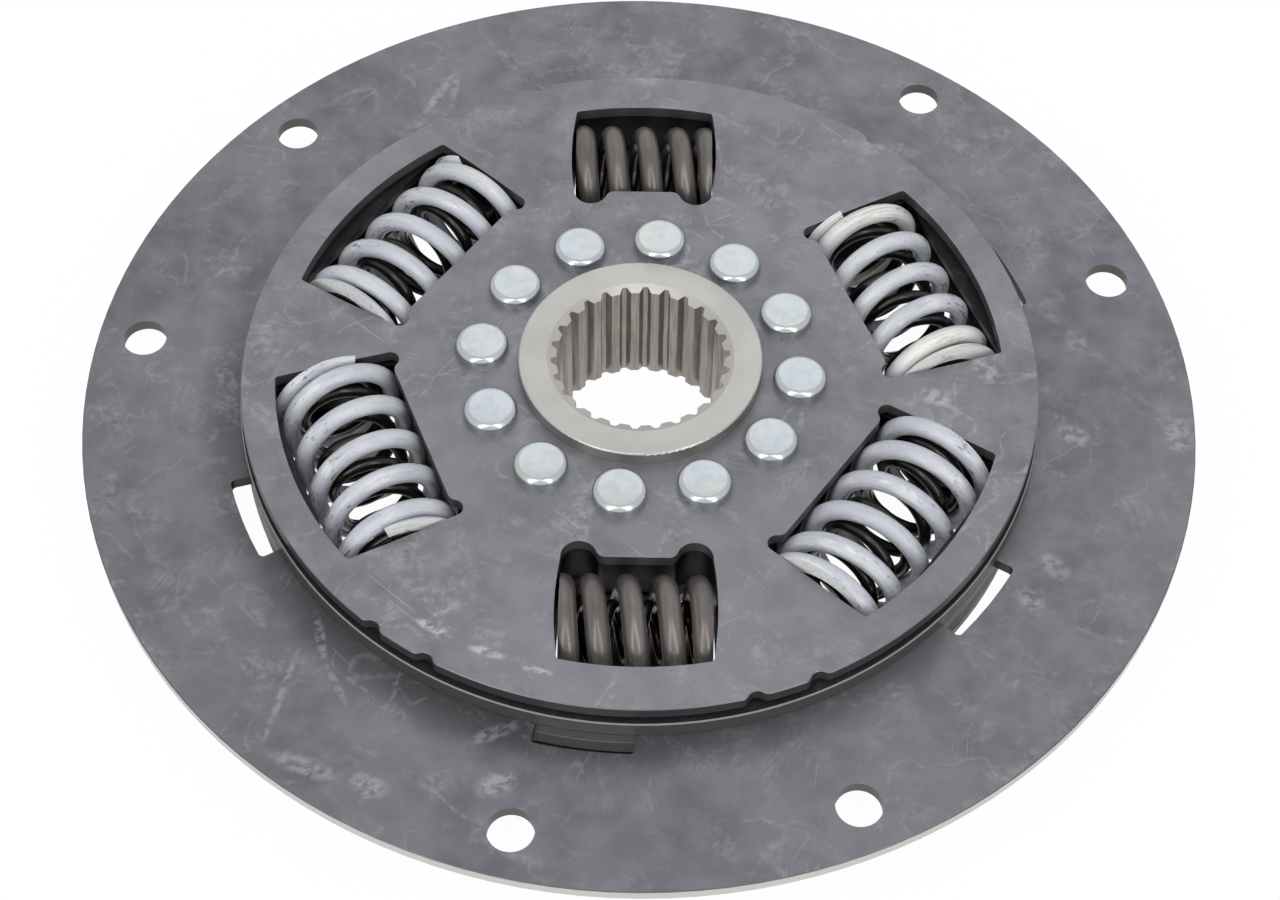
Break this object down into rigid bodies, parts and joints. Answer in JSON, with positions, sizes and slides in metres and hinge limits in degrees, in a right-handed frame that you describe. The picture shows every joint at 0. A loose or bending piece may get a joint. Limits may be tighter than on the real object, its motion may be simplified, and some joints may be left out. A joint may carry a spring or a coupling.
{
  "type": "torsional damper",
  "caption": "Spring-loaded torsional damper for a diesel driveline: splined hub between riveted side plates, sprung against a thin flywheel drive plate.",
  "frame": {"origin": "centre of the drive plate's front face, on the axis", "axes": "+Z along the axis towards the front, +X and +Y in the plane of the drive plate, +Y to the middle of the first short spring"},
  "size_m": [0.35, 0.35, 0.043],
  "materials": {
    "plate_steel": "phosphated and oiled sheet steel, satin",
    "carrier_steel": "dark phosphated steel with bright cut edges",
    "hub_steel": "fine turned steel, satin",
    "rivet_zinc": "zinc plated, semi-gloss",
    "friction_ring": "dark friction material, matt",
    "pale_spring": "thin pale grey paint, satin",
    "dark_spring": "oil-tempered spring steel, dark and glossy"
  },
  "bodies": {
    "hub_assembly": {"splined_hub": "hub_steel", "front_side_plate": "plate_steel", "rear_side_plate": "plate_steel", "front_friction_ring": "friction_ring", "rear_friction_ring": "friction_ring", "hub_rivet_01": "rivet_zinc", "hub_rivet_02": "rivet_zinc", "hub_rivet_03": "rivet_zinc", "hub_rivet_04": "rivet_zinc", "hub_rivet_05": "rivet_zinc", "hub_rivet_06": "rivet_zinc", "hub_rivet_07": "rivet_zinc", "hub_rivet_08": "rivet_zinc", "hub_rivet_09": "rivet_zinc", "hub_rivet_10": "rivet_zinc", "hub_rivet_11": "rivet_zinc", "hub_rivet_12": "rivet_zinc"},
    "drive_assembly": {"drive_plate": "plate_steel", "front_carrier_disc": "carrier_steel", "rear_carrier_disc": "carrier_steel", "carrier_rivets": "carrier_steel"},
    "spring_set": {"main_spring_1": "pale_spring", "main_spring_2": "pale_spring", "main_spring_3": "pale_spring", "main_spring_4": "pale_spring", "main_inner_spring_1": "dark_spring", "main_inner_spring_2": "dark_spring", "main_inner_spring_3": "dark_spring", "main_inner_spring_4": "dark_spring", "stage_spring_1": "dark_spring", "stage_spring_2": "dark_spring", "stage_inner_spring_1": "dark_spring", "stage_inner_spring_2": "dark_spring"}
  },
  "joints": [
    {"name": "torsion", "type": "hinge", "parent": "hub_assembly", "child": "drive_assembly", "pos_m": [0, 0, -0.002], "axis": [0, 0, 1], "range_deg": [-5, 5], "stiffness_Nm_per_rad": 16000, "deforming": ["main_spring_1", "main_spring_2", "main_spring_3", "main_spring_4", "main_inner_spring_1", "main_inner_spring_2", "main_inner_spring_3", "main_inner_spring_4", "stage_spring_1", "stage_spring_2", "stage_inner_spring_1", "stage_inner_spring_2"]},
    {"name": "spring_shift", "type": "hinge", "parent": "hub_assembly", "child": "spring_set", "pos_m": [0, 0, -0.002], "axis": [0, 0, 1], "range_deg": [-2.6, 2.6]}
  ],
  "couplings": [
    {"joint": "spring_shift", "follows": "torsion", "ratio": 0.5}
  ]
}
